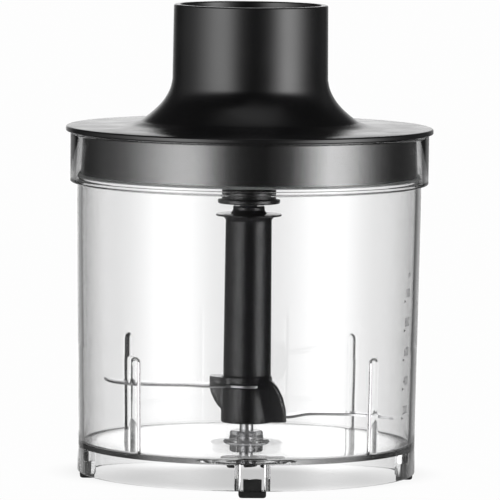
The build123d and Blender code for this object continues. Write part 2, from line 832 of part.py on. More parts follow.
with BuildPart() as planet_carrier:
    with BuildSketch(Plane.XY.offset(119.3)):
        Circle(r_out_shaft)
    extrude(amount=137.8 - 119.3)
    with BuildSketch(Plane.XY.offset(137.8)):
        Circle(21.0)
    extrude(amount=3.0)
    with BuildSketch(Plane.XY.offset(140.8)):
        with PolarLocations(15.5, 3, start_angle=30):
            Circle(3.6)
    extrude(amount=9.2)
    with BuildSketch(Plane.XY.offset(150.0)):
        with PolarLocations(15.5, 3, start_angle=30):
            Circle(1.8)
    extrude(amount=1.9)
    with BuildSketch(Plane.XY.offset(138.3)):
        with PolarLocations(r_orbit, 3, start_angle=90):
            Circle(2.0)
    extrude(amount=5.0, mode=Mode.SUBTRACT)
    with BuildSketch(Plane.XY.offset(119.0)):
        RegularPolygon(hex_socket / 2, 6, major_radius=False)
    extrude(amount=13.0, mode=Mode.SUBTRACT)
planet_carrier.part.label = "planet_carrier"
export_step(on_worktop(planet_carrier.part), "parts/planet_carrier.step")

with BuildPart() as carrier_plate:
    with BuildSketch(Plane.XY.offset(150.0)):
        Circle(21.0)
        Circle(5.0, mode=Mode.SUBTRACT)
        with PolarLocations(15.5, 3, start_angle=30):
            Circle(1.82, mode=Mode.SUBTRACT)
        with PolarLocations(r_orbit, 3, start_angle=90):
            Circle(2.0, mode=Mode.SUBTRACT)
    extrude(amount=2.0)
carrier_plate.part.label = "carrier_plate"
export_step(on_worktop(carrier_plate.part), "parts/carrier_plate.step")

with BuildPart() as planet_pins:
    with BuildSketch(Plane.XY.offset(138.3)):
        with PolarLocations(r_orbit, 3, start_angle=90):
            Circle(1.98)
    extrude(amount=13.5)
planet_pins.part.label = "planet_pins"
export_step(on_worktop(planet_pins.part), "parts/planet_pins.step")


# ---------------------------------------------------------------------------
# planet bodies
# ---------------------------------------------------------------------------


# A planet has a tooth space on the line through the centre of the train, so
# that the sun and the ring each put a tooth there.
def planet_part(angle):
    a = math.radians(angle)
    seat = Plane(origin=(r_orbit * math.cos(a), r_orbit * math.sin(a), z_gear), x_dir=(1, 0, 0), z_dir=(0, 0, 1))
    with BuildPart() as planet:
        with BuildSketch(seat):
            with BuildLine():
                Polyline(
                    *gear_outline(n_planet, 9 + addendum, 9 - dedendum, -thinning, angle + 180 / n_planet),
                    close=True,
                )
            make_face()
            Circle(1.98 + run_gap, mode=Mode.SUBTRACT)
        extrude(amount=gear_face)
    return planet.part


planet_gear_1 = planet_part(planet_angles[0])
planet_gear_1.label = "planet_gear_1"
export_step(on_worktop(planet_gear_1), "parts/planet_gear_1.step")
planet_gear_2 = planet_part(planet_angles[1])
planet_gear_2.label = "planet_gear_2"
export_step(on_worktop(planet_gear_2), "parts/planet_gear_2.step")
planet_gear_3 = planet_part(planet_angles[2])
planet_gear_3.label = "planet_gear_3"
export_step(on_worktop(planet_gear_3), "parts/planet_gear_3.step")
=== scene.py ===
import bpy
import bmesh
import math
import numpy as np
from mathutils import Vector, Matrix

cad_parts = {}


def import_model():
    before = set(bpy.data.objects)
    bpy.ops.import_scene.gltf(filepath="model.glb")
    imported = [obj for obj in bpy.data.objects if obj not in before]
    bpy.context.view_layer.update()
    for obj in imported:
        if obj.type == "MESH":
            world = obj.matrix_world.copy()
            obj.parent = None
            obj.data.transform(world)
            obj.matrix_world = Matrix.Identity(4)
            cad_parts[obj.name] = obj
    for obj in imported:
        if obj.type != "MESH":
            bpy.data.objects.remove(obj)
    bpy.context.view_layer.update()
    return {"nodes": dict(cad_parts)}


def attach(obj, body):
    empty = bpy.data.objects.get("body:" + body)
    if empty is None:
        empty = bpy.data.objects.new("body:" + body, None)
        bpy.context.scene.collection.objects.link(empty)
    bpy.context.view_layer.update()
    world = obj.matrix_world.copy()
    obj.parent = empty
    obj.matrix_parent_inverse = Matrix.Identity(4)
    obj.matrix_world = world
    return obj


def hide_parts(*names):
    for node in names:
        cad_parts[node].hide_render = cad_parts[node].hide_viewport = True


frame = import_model()

MM = 0.001
LIFT = 1.0           # heights below are written from a datum 1 mm above the worktop
SEG = 224            # steps round the large turned surfaces
scene = bpy.context.scene
scene.view_settings.view_transform = "Standard"
scene.view_settings.look = "None"
scene.view_settings.exposure = 0.0
scene.view_settings.gamma = 1.0


# ---------------------------------------------------------------------------
# camera
# ---------------------------------------------------------------------------

CAM_AZ = math.radians(-2.3)
CAM_D = 2.622
CAM_H = 0.326
CAM_AIM = Vector((0.0007, 0.0, 0.0994))
CAM_ROLL = math.radians(0.64)

cam_data = bpy.data.cameras.new("camera")
cam = bpy.data.objects.new("camera", cam_data)
scene.collection.objects.link(cam)
cam.location = (CAM_D * math.sin(CAM_AZ), -CAM_D * math.cos(CAM_AZ), CAM_H)
look = (CAM_AIM - cam.location).normalized()
cam.rotation_mode = "QUATERNION"
cam.rotation_quaternion = look.to_track_quat("-Z", "Y")
cam.rotation_quaternion = cam.rotation_quaternion @ Matrix.Rotation(CAM_ROLL, 4, "Z").to_quaternion()
cam_data.sensor_width = 36.0
cam_data.lens = 436.6
cam_data.clip_start = 0.05
cam_data.clip_end = 60.0
cam_data.dof.use_dof = False
scene.camera = cam


# ---------------------------------------------------------------------------
# node helpers
# ---------------------------------------------------------------------------

class Tree:
    """Small helper to write node trees on a few lines."""

    def __init__(self, name):
        self.mat = bpy.data.materials.new(name)
        self.mat.use_nodes = True
        self.nt = self.mat.node_tree
        self.nt.nodes.clear()
        self.out = self.nt.nodes.new("ShaderNodeOutputMaterial")
        self.bsdf = self.nt.nodes.new("ShaderNodeBsdfPrincipled")
        self.nt.links.new(self.bsdf.outputs["BSDF"], self.out.inputs["Surface"])
        self.coord = self.nt.nodes.new("ShaderNodeTexCoord")

    def new(self, kind, **props):
        n = self.nt.nodes.new(kind)
        for k, v in props.items():
            setattr(n, k, v)
        return n

    def link(self, a, b):
        self.nt.links.new(a, b)

    def mapped(self, scale=(1, 1, 1), rotation=(0, 0, 0)):
        m = self.new("ShaderNodeMapping")
        m.inputs["Scale"].default_value = scale
        m.inputs["Rotation"].default_value = rotation
        self.link(self.coord.outputs["Object"], m.inputs["Vector"])
        return m.outputs["Vector"]

    def noise(self, scale, detail=3.0, rough=0.5, vector=None, distortion=0.0):
        n = self.new("ShaderNodeTexNoise")
        n.inputs["Scale"].default_value = scale
        n.inputs["Detail"].default_value = detail
        n.inputs["Roughness"].default_value = rough
        n.inputs["Distortion"].default_value = distortion
        self.link(vector if vector is not None else self.coord.outputs["Object"], n.inputs["Vector"])
        return n.outputs["Fac"]

    def span(self, value, lo, hi, a, b):
        m = self.new("ShaderNodeMapRange")
        m.inputs["From Min"].default_value = lo
        m.inputs["From Max"].default_value = hi
        m.inputs["To Min"].default_value = a
        m.inputs["To Max"].default_value = b
        self.link(value, m.inputs["Value"])
        return m.outputs["Result"]

    def math(self, op, a, b=None):
        m = self.new("ShaderNodeMath", operation=op)
        for i, v in enumerate((a, b)):
            if v is None:
                continue
            if isinstance(v, (int, float)):
                m.inputs[i].default_value = v
            else:
                self.link(v, m.inputs[i])
        return m.outputs["Value"]

    def colours(self, value, stops):
        r = self.new("ShaderNodeValToRGB")
        el = r.color_ramp.elements
        el[0].position, el[0].color = stops[0][0], (*stops[0][1], 1)
        el[1].position, el[1].color = stops[-1][0], (*stops[-1][1], 1)
        for p, c in stops[1:-1]:
            e = el.new(p)
            e.color = (*c, 1)
        self.link(value, r.inputs["Fac"])
        return r.outputs["Color"]

    def bump(self, height, distance, strength=1.0, after=None):
        b = self.new("ShaderNodeBump")
        b.inputs["Strength"].default_value = strength
        b.inputs["Distance"].default_value = distance
        self.link(height, b.inputs["Height"])
        if after is not None:
            self.link(after, b.inputs["Normal"])
        return b.outputs["Normal"]

    def set(self, name, value):
        s = self.bsdf.inputs[name]
        if isinstance(value, (int, float)):
            s.default_value = value
        elif isinstance(value, tuple):
            s.default_value = (*value, 1) if len(value) == 3 else value
        else:
            self.link(value, s)


def plastic(name, dark, light, rough_lo, rough_hi, grain, depth, ior=1.5, wave=0.0, level=0.5):
    """Moulded plastic: fine spark-eroded grain, cloudy gloss, slight flow marks, lighter on sharp convex edges."""
    t = Tree(name)
    cloud = t.noise(60.0, 4.0, 0.55)
    fine = t.noise(grain, 2.0, 0.6)
    flow = t.noise(24.0, 3.0, 0.5, t.mapped((1, 1, 0.25)))
    geo = t.new("ShaderNodeNewGeometry")
    edge = t.span(geo.outputs["Pointiness"], 0.51, 0.60, 0.0, 1.0)
    tone = t.math("ADD", t.math("MULTIPLY", cloud, 0.7), t.math("MULTIPLY", edge, 0.35))
    t.set("Base Color", t.colours(tone, [(0.2, dark), (0.85, light)]))
    rough = t.math("ADD", t.span(cloud, 0.3, 0.7, rough_lo, rough_hi), t.math("MULTIPLY", fine, 0.03))
    t.set("Roughness", rough)
    t.set("IOR", ior)
    t.set("Specular IOR Level", level)
    n = t.bump(fine, depth, 0.6)
    if wave:
        n = t.bump(flow, wave, 0.5, after=n)
    t.set("Normal", n)
    return t.mat


def clear_plastic(name, tint, rough_lo, rough_hi, density, ior=1.45):
    """Clear moulded plastic: faint tint, polish marks in the gloss, very slight waviness, spark finish on the ring
    under the boss, where the tint is greyed as a painted reflection of the dark hub.
    """
    t = Tree(name)
    streak = t.noise(90.0, 3.0, 0.6, t.mapped((1, 1, 0.12)))
    wave = t.noise(9.0, 1.0, 0.4)
    smudge = t.noise(35.0, 4.0, 0.6)
    shade = t.colours(smudge, [(0.25, tuple(c * 0.992 for c in tint)), (0.8, tint)])
    flat = t.new("ShaderNodeVectorMath", operation="MULTIPLY")
    flat.inputs[1].default_value = (1.0, 1.0, 0.0)
    t.link(t.coord.outputs["Object"], flat.inputs[0])
    away = t.new("ShaderNodeVectorMath", operation="LENGTH")
    t.link(flat.outputs["Vector"], away.inputs[0])
    height = t.new("ShaderNodeSeparateXYZ")
    t.link(t.coord.outputs["Object"], height.inputs[0])
    band = t.math("MULTIPLY", t.span(away.outputs["Value"], 0.0086, 0.0090, 0.0, 1.0), t.span(away.outputs["Value"], 0.0150, 0.0154, 1.0, 0.0))
    spark = t.math("MULTIPLY", band, t.span(height.outputs["Z"], 0.0124, 0.0128, 1.0, 0.0))
    # painted reflection: the ring under the boss is tinted grey (0.52) for the dark hub and stem mirrored in the
    # floor; its extra roughness is the spark finish
    matt = t.new("ShaderNodeMix", data_type="RGBA")
    t.link(spark, matt.inputs[0])
    t.link(shade, matt.inputs[6])
    matt.inputs[7].default_value = (0.52, 0.53, 0.55, 1.0)
    t.set("Base Color", matt.outputs[2])
    t.set("Roughness", t.math("ADD", t.span(streak, 0.35, 0.75, rough_lo, rough_hi), t.math("MULTIPLY", spark, 0.22)))
    t.set("Transmission Weight", 1.0)
    t.set("IOR", ior)
    t.set("Normal", t.bump(wave, 0.00035, 0.25))
    vol = t.new("ShaderNodeVolumeAbsorption")
    vol.inputs["Color"].default_value = (0.505, 0.507, 0.508, 1)
    vol.inputs["Density"].default_value = density
    t.link(vol.outputs["Volume"], t.out.inputs["Volume"])
    return t.mat


def metal(name, dark, light, rough_lo, rough_hi, stretch, depth, scale=900.0):
    """Ground or turned steel: long fine grinding lines in colour, gloss and relief."""
    t = Tree(name)
    lines = t.noise(scale, 4.0, 0.65, t.mapped(stretch))
    cloud = t.noise(70.0, 3.0, 0.5)
    tone = t.math("ADD", t.math("MULTIPLY", lines, 0.7), t.math("MULTIPLY", cloud, 0.3))
    t.set("Base Color", t.colours(tone, [(0.25, dark), (0.75, light)]))
    t.set("Metallic", 1.0)
    t.set("Roughness", t.span(tone, 0.3, 0.7, rough_lo, rough_hi))
    t.set("Normal", t.bump(lines, depth, 0.5))
    return t.mat


def rubber(name, dark, light, grain=1600.0, depth=0.00004, ior=1.45):
    """Moulded rubber: matt, powdery bloom, pebbled fine grain."""
    t = Tree(name)
    fine = t.noise(grain, 3.0, 0.6)
    bloom = t.noise(120.0, 4.0, 0.6)
    t.set("Base Color", t.colours(bloom, [(0.3, dark), (0.8, light)]))
    t.set("Roughness", t.span(bloom, 0.3, 0.7, 0.62, 0.8))
    t.set("IOR", ior)
    t.set("Normal", t.bump(fine, depth, 0.8))
    return t.mat


M = {
    "clear": clear_plastic("clear_plastic", (0.965, 0.965, 0.966), 0.0, 0.03, 12.0),
    "satin": plastic("satin_black", (0.0024, 0.0024, 0.0027), (0.0052, 0.0052, 0.0058), 0.19, 0.25, 2600.0, 0.000008, ior=1.7),
    "gloss": plastic("gloss_black", (0.0022, 0.0022, 0.0025), (0.0045, 0.0045, 0.005), 0.05, 0.085, 1500.0, 0.000002, ior=1.75, wave=0.00002, level=1.0),
    "knife": plastic("knife_black", (0.0040, 0.0038, 0.0054), (0.0082, 0.0079, 0.0104), 0.14, 0.20, 2200.0, 0.000002),
    "rubber": rubber("foot_rubber", (0.008, 0.008, 0.008), (0.016, 0.016, 0.016)),
    "seal": rubber("seal_black", (0.010, 0.010, 0.010), (0.02, 0.02, 0.02), 2000.0, 0.00002),
    "blade": metal("blade_steel", (0.74, 0.74, 0.75), (0.90, 0.90, 0.91), 0.12, 0.21, (1.0, 0.08, 1.0), 0.000003),
    "pin": metal("pin_steel", (0.5, 0.5, 0.51), (0.72, 0.72, 0.73), 0.16, 0.26, (0.15, 0.15, 1.0), 0.000005),
    "drive": metal("drive_steel", (0.34, 0.34, 0.35), (0.55, 0.55, 0.56), 0.25, 0.38, (0.2, 0.2, 1.0), 0.000006),
    "screw": metal("screw_steel", (0.45, 0.45, 0.44), (0.62, 0.61, 0.58), 0.28, 0.42, (0.4, 0.4, 1.0), 0.000006),
    "bronze": metal("bush_bronze", (0.42, 0.26, 0.11), (0.62, 0.43, 0.22), 0.35, 0.5, (0.3, 0.3, 1.0), 0.00001, 500.0),
    "nylon": plastic("gear_nylon", (0.60, 0.58, 0.50), (0.74, 0.72, 0.64), 0.36, 0.46, 1400.0, 0.000012),
    "grey": plastic("case_grey", (0.055, 0.056, 0.06), (0.10, 0.102, 0.108), 0.42, 0.52, 1500.0, 0.00002),
}


def silicone(name):
    t = Tree(name)
    cloud = t.noise(80.0, 3.0, 0.5)
    t.set("Base Color", t.colours(cloud, [(0.3, (0.80, 0.82, 0.82)), (0.8, (0.88, 0.89, 0.89))]))
    t.set("Roughness", t.span(cloud, 0.3, 0.7, 0.3, 0.42))
    t.set("Transmission Weight", 0.55)
    t.set("IOR", 1.42)
    t.set("Normal", t.bump(t.noise(1500.0, 2.0), 0.00001, 0.6))
    return t.mat


def ink(name):
    t = Tree(name)
    fleck = t.noise(2500.0, 3.0, 0.6)
    t.set("Base Color", t.colours(fleck, [(0.3, (0.10, 0.10, 0.105)), (0.8, (0.17, 0.17, 0.175))]))
    t.set("Roughness", t.span(fleck, 0.3, 0.7, 0.4, 0.55))
    t.set("Normal", t.bump(fleck, 0.000004, 0.6))
    return t.mat


M["silicone"] = silicone("seal_silicone")
M["ink"] = ink("scale_ink")


# ---------------------------------------------------------------------------
# mesh helpers
# ---------------------------------------------------------------------------

def rounded(points, steps=5, closed=True):
    """A polyline of (r, z, radius) corners as a dense list of (r, z) with arcs at its corners."""
    out = []
    n = len(points)
    for i, p in enumerate(points):
        rad = p[2] if len(p) > 2 else 0.0
        c = Vector((p[0], p[1]))
        if rad <= 0 or (not closed and i in (0, n - 1)):
            out.append((c.x, c.y))
            continue
        a = Vector(points[i - 1][:2])
        b = Vector(points[(i + 1) % n][:2])
        u, v = (a - c), (b - c)
        lu, lv = u.length, v.length
        u.normalize()
        v.normalize()
        ang = u.angle(v)
        if ang > math.radians(178.5) or ang < math.radians(2):
            out.append((c.x, c.y))
            continue
        t = min(rad / math.tan(ang / 2), 0.49 * lu, 0.49 * lv)
        r = t * math.tan(ang / 2)
        mid = c + (u + v).normalized() * (r / math.sin(ang / 2))
        s, e = c + u * t - mid, c + v * t - mid
        a0 = math.atan2(s.y, s.x)
        a1 = math.atan2(e.y, e.x)
        d = (a1 - a0 + math.pi) % (2 * math.pi) - math.pi
        for k in range(steps + 1):
            a = a0 + d * k / steps
            out.append((mid.x + r * math.cos(a), mid.y + r * math.sin(a)))
    return out


def spline(points, steps=6):
    """Catmull-Rom points through a list of (r, z), ends included."""
    pts = [Vector(p) for p in points]
    out = []
    for i in range(len(pts) - 1):
        p0 = pts[i - 1] if i else pts[0] * 2 - pts[1]
        p1, p2 = pts[i], pts[i + 1]
        p3 = pts[i + 2] if i + 2 < len(pts) else pts[-1] * 2 - pts[-2]
        for k in range(steps):
            t = k / steps
            q = 0.5 * ((2 * p1) + (p2 - p0) * t + (2 * p0 - 5 * p1 + 4 * p2 - p3) * t * t + (3 * p1 - p0 - 3 * p2 + p3) * t ** 3)
            out.append((q.x, q.y))
    out.append((pts[-1].x, pts[-1].y))
    return out


def finish_mesh(name, verts, faces, mat, body, smooth=32.0, replaces=(), recalc=True):
    me = bpy.data.meshes.new(name)
    me.from_pydata([(x * MM, y * MM, (z + LIFT) * MM) for x, y, z in verts], [], faces)
    bm = bmesh.new()
    bm.from_mesh(me)
    bmesh.ops.remove_doubles(bm, verts=bm.verts, dist=1e-7)
    bmesh.ops.dissolve_degenerate(bm, edges=bm.edges, dist=1e-8)
    if recalc:
        bmesh.ops.recalc_face_normals(bm, faces=bm.faces)
    bm.to_mesh(me)
    bm.free()
    return finish_object(name, me, mat, body, smooth, replaces)


def finish_object(name, me, mat, body, smooth=32.0, replaces=()):
    for p in me.polygons:
        p.use_smooth = True
    me.set_sharp_from_angle(angle=math.radians(smooth))
    me.materials.clear()
    me.materials.append(mat)
    ob = bpy.data.objects.new(name, me)
    scene.collection.objects.link(ob)
    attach(ob, body)
    if replaces:
        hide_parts(*replaces)
    return ob


def lathe(name, profile, mat, body, seg=SEG, smooth=32.0, replaces=()):
    """A closed profile of (r, z) turned round the Z axis."""
    verts, faces = [], []
    n = len(profile)
    for r, z in profile:
        for k in range(seg):
            a = 2 * math.pi * k / seg
            verts.append((r * math.cos(a), r * math.sin(a), z))
    for i in range(n):
        j = (i + 1) % n
        for k in range(seg):
            m = (k + 1) % seg
            faces.append((i * seg + k, i * seg + m, j * seg + m, j * seg + k))
    return finish_mesh(name, verts, faces, mat, body, smooth, replaces)


def boolean(ob, cutter, operation="DIFFERENCE"):
    mod = ob.modifiers.new("cut", "BOOLEAN")
    mod.operation = operation
    mod.solver = "EXACT"
    mod.object = cutter
    dg = bpy.context.evaluated_depsgraph_get()
    me = bpy.data.meshes.new_from_object(ob.evaluated_get(dg))
    ob.modifiers.clear()
    old = ob.data
    ob.data = me
    bpy.data.meshes.remove(old)
    bpy.data.objects.remove(cutter)
    return ob


def box_cutter(size, centre, rot_z=0.0):
    bm = bmesh.new()
    bmesh.ops.create_cube(bm, size=1.0)
    bmesh.ops.scale(bm, vec=Vector(size) * MM, verts=bm.verts)
    bmesh.ops.translate(bm, vec=Vector((centre[0], centre[1], centre[2] + LIFT)) * MM, verts=bm.verts)
    bmesh.ops.rotate(bm, cent=(0, 0, 0), matrix=Matrix.Rotation(rot_z, 3, "Z"), verts=bm.verts)
    me = bpy.data.meshes.new("cutter")
    bm.to_mesh(me)
    bm.free()
    ob = bpy.data.objects.new("cutter", me)
    scene.collection.objects.link(ob)
    return ob


# ---------------------------------------------------------------------------
# bowl: one clear moulding with ribs and foot pockets worked into its grid
# ---------------------------------------------------------------------------

R_LOW, R_MID, R_HIGH, R_BAND, WALL = 73.3, 74.2, 74.8, 77.9, 2.5
R_IN = R_LOW - WALL
Z_SKIRT, Z_UNDER, Z_FLOOR, Z_LEDGE, Z_BAND = 2.0, 13.0, 15.0, 129.3, 149.3
RIB_TURN = 46.3
RIB_REACH, RIB_HALF, RIB_TOP = 2.4, 2.3, 56.6
POCKET_REACH, POCKET_HALF = 5.6, 6.0


def bowl_columns():
    """Angles of the grid columns, and for each the share it takes in a rib or a pocket."""
    plan = [(-1.45, 0.0), (-1.28, 0.02), (-1.16, 0.12), (-1.07, 0.34), (-0.99, 0.62), (-0.91, 0.85), (-0.80, 0.97), (-0.5, 1.0), (0.0, 1.0)]
    plan = plan + [(-t, d) for t, d in reversed(plan[:-1])]
    ridge = [(-1.45, 0.0), (-1.2, 0.015), (-1.08, 0.07), (-0.98, 0.22), (-0.9, 0.42), (-0.78, 0.61), (-0.62, 0.78), (-0.43, 0.90), (-0.22, 0.975), (0.0, 1.0)]
    ridge = ridge + [(-t, d) for t, d in reversed(ridge[:-1])]
    cols = []
    for q in range(4):
        centre = math.radians(90 * q)
        for t, d in plan:
            cols.append((centre, "pocket", t, d))
        rib = math.radians(90 * q + RIB_TURN)
        for t, d in ridge:
            cols.append((rib, "rib", t, d))
    spans = []
    for q in range(4):
        spans.append((math.radians(90 * q), 1.45 * POCKET_HALF / R_IN))
        spans.append((math.radians(90 * q + RIB_TURN), 1.45 * RIB_HALF / R_IN))
    out = []
    for centre, kind, t, d in cols:
        half = POCKET_HALF if kind == "pocket" else RIB_HALF
        out.append({"a": centre + t * half / R_IN, "kind": kind, "centre": centre, "t": t, "d": d})
    n = 288
    for k in range(n):
        a = 2 * math.pi * k / n
        free = True
        for c, w in spans:
            diff = (a - c + math.pi) % (2 * math.pi) - math.pi
            if abs(diff) < w + 0.006:
                free = False
        if free:
            out.append({"a": a, "kind": "plain", "centre": 0.0, "t": 0.0, "d": 0.0})
    for c in out:
        c["a"] %= 2 * math.pi
    out.sort(key=lambda c: c["a"])
    return out


COLS = bowl_columns()


def bowl_row(r, z, rib=None, pocket=None):
    """One ring of the bowl grid. rib is (half width, share of the reach) or None, pocket the share of its reach or None."""
    ring = []
    for c in COLS:
        a, rr = c["a"], r
        if c["kind"] == "rib" and rib is not None:
            half, share = rib
            x = c["t"] * half
            if abs(c["t"]) > 1.0:
                x = math.copysign(half + (abs(c["t"]) - 1.0) * RIB_HALF, c["t"])
            rad = math.sqrt(max(r * r - x * x, 1.0)) - RIB_REACH * c["d"] * share
            ca, sa = math.cos(c["centre"]), math.sin(c["centre"])
            ring.append((rad * ca - x * sa, rad * sa + x * ca, z))
            continue
        if c["kind"] == "pocket" and pocket:
            x = c["t"] * POCKET_HALF
            rad = math.sqrt(max(r * r - x * x, 1.0)) - POCKET_REACH * c["d"] * pocket
            ca, sa = math.cos(c["centre"]), math.sin(c["centre"])
            ring.append((rad * ca - x * sa, rad * sa + x * ca, z))
            continue
        ring.append((rr * math.cos(a), rr * math.sin(a), z))
    return ring


def bowl_mesh():
    rows = []
    add = rows.append
    # outside, from the skirt up
    for r, z in rounded([
        (R_LOW - 1.1, Z_SKIRT, 0), (R_LOW, Z_SKIRT, 0.9), (R_LOW, 16.0, 0),
    ], 5, closed=False)[1:]:
        add(bowl_row(r, z))
    for r, z in [(R_LOW + 0.1, 25.0), (R_LOW + 0.2, 33.0), (73.85, 55.0), (R_MID, 77.0), (74.55, 100.0), (R_HIGH, 120.0), (R_HIGH, 125.6)]:
        add(bowl_row(r, z))
    outer = rounded([
        (R_HIGH, 125.6, 0), (R_HIGH, 127.4, 0.25), (R_BAND, 127.9, 0.9), (R_BAND, Z_BAND, 0.75),
        (R_BAND - 2.4, Z_BAND, 0.6), (R_BAND - 2.4, Z_LEDGE, 0.3), (R_HIGH - WALL, Z_LEDGE, 0.25), (R_HIGH - WALL, 125.0, 0),
    ], 6, closed=False)[1:]
    for r, z in outer:
        add(bowl_row(r, z))
    # inside, down to the rib tops
    for r, z in [(R_HIGH - WALL, 120.0), (74.55 - WALL, 100.0), (R_MID - WALL, 77.0)]:
        add(bowl_row(r, z))
    rr = R_MID - WALL - 0.45
    add(bowl_row(rr + 0.02, RIB_TOP + 0.9))
    add(bowl_row(rr, RIB_TOP + 0.25))
    for h, share in [(1.0, 0.25), (0.96, 0.45), (0.88, 0.64), (0.74, 0.80), (0.55, 0.91), (0.3, 0.98), (0.0, 1.0)]:
        half = RIB_HALF * math.sqrt(max(1 - h * h, 0.002))
        add(bowl_row(rr, RIB_TOP - RIB_HALF + RIB_HALF * h, rib=(half, share)))
    for r, z in [(73.75 - WALL, 45.0), (R_IN + 0.2, 33.0), (R_IN + 0.06, 24.0)]:
        add(bowl_row(r, z, rib=(RIB_HALF, 1.0)))
    # the cove into the floor, ribs still standing
    for r, z in rounded([(R_IN, 19.5, 0), (R_IN, Z_FLOOR, 1.2), (R_IN - 6.0, Z_FLOOR, 0)], 6, closed=False)[:-1]:
        add(bowl_row(r, z, rib=(RIB_HALF, 1.0)))
    add(bowl_row(R_IN - 5.2, Z_FLOOR))
    # floor and centre boss, inside face
    top = rounded([
        (58.0, Z_FLOOR, 0), (40.0, Z_FLOOR, 0), (16.0, Z_FLOOR, 0), (11.6, Z_FLOOR, 0), (10.2, Z_FLOOR, 0.6), (9.4, 16.0, 0.5), (7.4, 16.2, 0.4), (7.2, 19.0, 0),
        (6.4, 19.8, 0.4), (3.02, 19.8, 0.25), (3.02, 9.6, 0), (3.02, 8.2, 0), (5.6, 8.2, 0.5), (5.6, Z_UNDER, 0.5), (8.9, Z_UNDER, 0.5),
        (12.9, 8.4, 0.5), (14.8, 8.4, 0.6), (14.8, Z_UNDER, 0.5), (16.0, Z_UNDER, 0), (20.0, Z_UNDER, 0), (45.0, Z_UNDER, 0), (62.0, Z_UNDER, 0),
    ], 4, closed=False)
    for r, z in top:
        add(bowl_row(r, z))
    # underside corner, then down the inside of the skirt with the pockets
    add(bowl_row(R_IN - 6.5, Z_UNDER))
    add(bowl_row(R_IN - 0.05, Z_UNDER - 0.0, pocket=1.0))
    add(bowl_row(R_IN, Z_UNDER - 0.6, pocket=1.0))
    add(bowl_row(R_IN, 8.0, pocket=1.0))
    add(bowl_row(R_IN, Z_SKIRT + 0.35, pocket=1.0))
    add(bowl_row(R_IN + 0.3, Z_SKIRT, pocket=1.0))
    n = len(COLS)
    verts = [p for row in rows for p in row]
    faces = []
    for i in range(len(rows)):
        j = (i + 1) % len(rows)
        for k in range(n):
            m = (k + 1) % n
            faces.append((i * n + k, i * n + m, j * n + m, j * n + k))
    return verts, faces


bowl_verts, bowl_faces = bowl_mesh()
bowl = finish_mesh("bowl_clear", bowl_verts, bowl_faces, M["clear"], "bowl", 34.0, ("bowl", "bowl_floor"))
for q in range(4):
    bowl = boolean(bowl, box_cutter((3.4, 7.7, 6.0), (68.9, 0, 7.05 - 3.0), math.radians(90 * q)))
bowl.data.set_sharp_from_angle(angle=math.radians(34))

# ---------------------------------------------------------------------------
# spindle pin
# ---------------------------------------------------------------------------

lathe("spindle_pin_turned", rounded([
    (0.02, 9.6, 0), (2.99, 9.6, 0.3), (2.99, 21.6, 0), (2.99, 99.0, 0.2), (2.3, 100.0, 0.5), (0.02, 100.0, 0),
], 4), M["pin"], "bowl", 96, replaces=("spindle_pin",))


# ---------------------------------------------------------------------------
# rubber feet
# ---------------------------------------------------------------------------

def foot(name, node, angle):
    """A pad with rounded edges and a plug, built flat at +X and turned to its place."""
    rings = []

    def ring(cx, hx, hy, rad, z, steps=5):
        pts = []
        for sx, sy, a0 in ((1, 1, 0), (-1, 1, 90), (-1, -1, 180), (1, -1, 270)):
            for k in range(steps + 1):
                a = math.radians(a0 + 90 * k / steps)
                pts.append((cx + sx * (hx - rad) + rad * math.cos(a), sy * (hy - rad) + rad * math.sin(a), z))
        return pts

    cx, hx, hy, rad = 69.0, 3.3, 5.85, 1.6
    for inset, z in ((1.3, -1.0), (0.7, -0.96), (0.28, -0.72), (0.06, -0.3), (0.0, 0.1), (0.0, 1.6), (0.08, 1.87), (0.3, 1.98)):
        rings.append(ring(cx, hx - inset, hy - inset, max(rad - inset * 0.6, 0.4), z))
    px, phx, phy = 68.9, 1.66, 3.81
    for inset, z in ((-0.0, 1.99), (0.0, 6.45), (0.12, 6.8), (0.45, 6.97)):
        rings.append(ring(px, phx - inset, phy - inset, 0.45, z))
    n = len(rings[0])
    verts = [p for r in rings for p in r]
    faces = []
    for i in range(len(rings) - 1):
        for k in range(n):
            m = (k + 1) % n
            faces.append((i * n + k, i * n + m, (i + 1) * n + m, (i + 1) * n + k))
    faces.append(tuple(reversed(range(n))))
    faces.append(tuple((len(rings) - 1) * n + k for k in range(n)))
    ca, sa = math.cos(math.radians(angle)), math.sin(math.radians(angle))
    verts = [(x * ca - y * sa, x * sa + y * ca, z) for x, y, z in verts]
    return finish_mesh(name, verts, faces, M["rubber"], "bowl", 40.0, (node,))


foot("rubber_foot_front", "foot_front", 270)
foot("rubber_foot_right", "foot_right", 0)
foot("rubber_foot_back", "foot_back", 90)
foot("rubber_foot_left", "foot_left", 180)

# ---------------------------------------------------------------------------
# lid
# ---------------------------------------------------------------------------

flare = spline([
    (60.0, 152.42), (53.0, 153.0), (48.6, 154.1), (46.2, 155.2), (42.0, 158.5), (38.4, 162.1), (36.0, 165.6), (34.5, 168.9), (33.7, 172.6),
], 6)
shell_profile = (
    rounded([(68.4, 149.8, 0.2), (68.4, 145.8, 0.4), (70.9, 145.8, 0.4), (70.9, 149.8, 0.0), (79.65, 149.8, 0.5), (79.65, 152.1, 0.9), (66.0, 152.28, 0)], 5, closed=False)
    + flare
    + rounded([(33.7, 172.6, 0), (33.4, 205.0, 0.75), (30.5, 205.0, 0.75), (30.5, 177.8, 0.3), (28.3, 177.8, 0.5), (28.3, 166.0, 0.8), (8.6, 166.0, 0.3), (8.6, 163.8, 0.3), (32.9, 163.8, 0)], 5, closed=False)[1:]
    + spline([(34.95, 161.6), (38.1, 158.0), (42.3, 154.5), (47.3, 151.5), (53.6, 149.8)], 4)
)
lid_shell = lathe("lid_shell_moulding", shell_profile, M["satin"], "lid", SEG, 34.0, ("lid_shell", "lid_collar"))
for side in (1, -1):
    lid_shell = boolean(lid_shell, box_cutter((11.0, 2.4, 4.5), (0, side * 30.6, 192.25)))
lid_shell.data.set_sharp_from_angle(angle=math.radians(34))

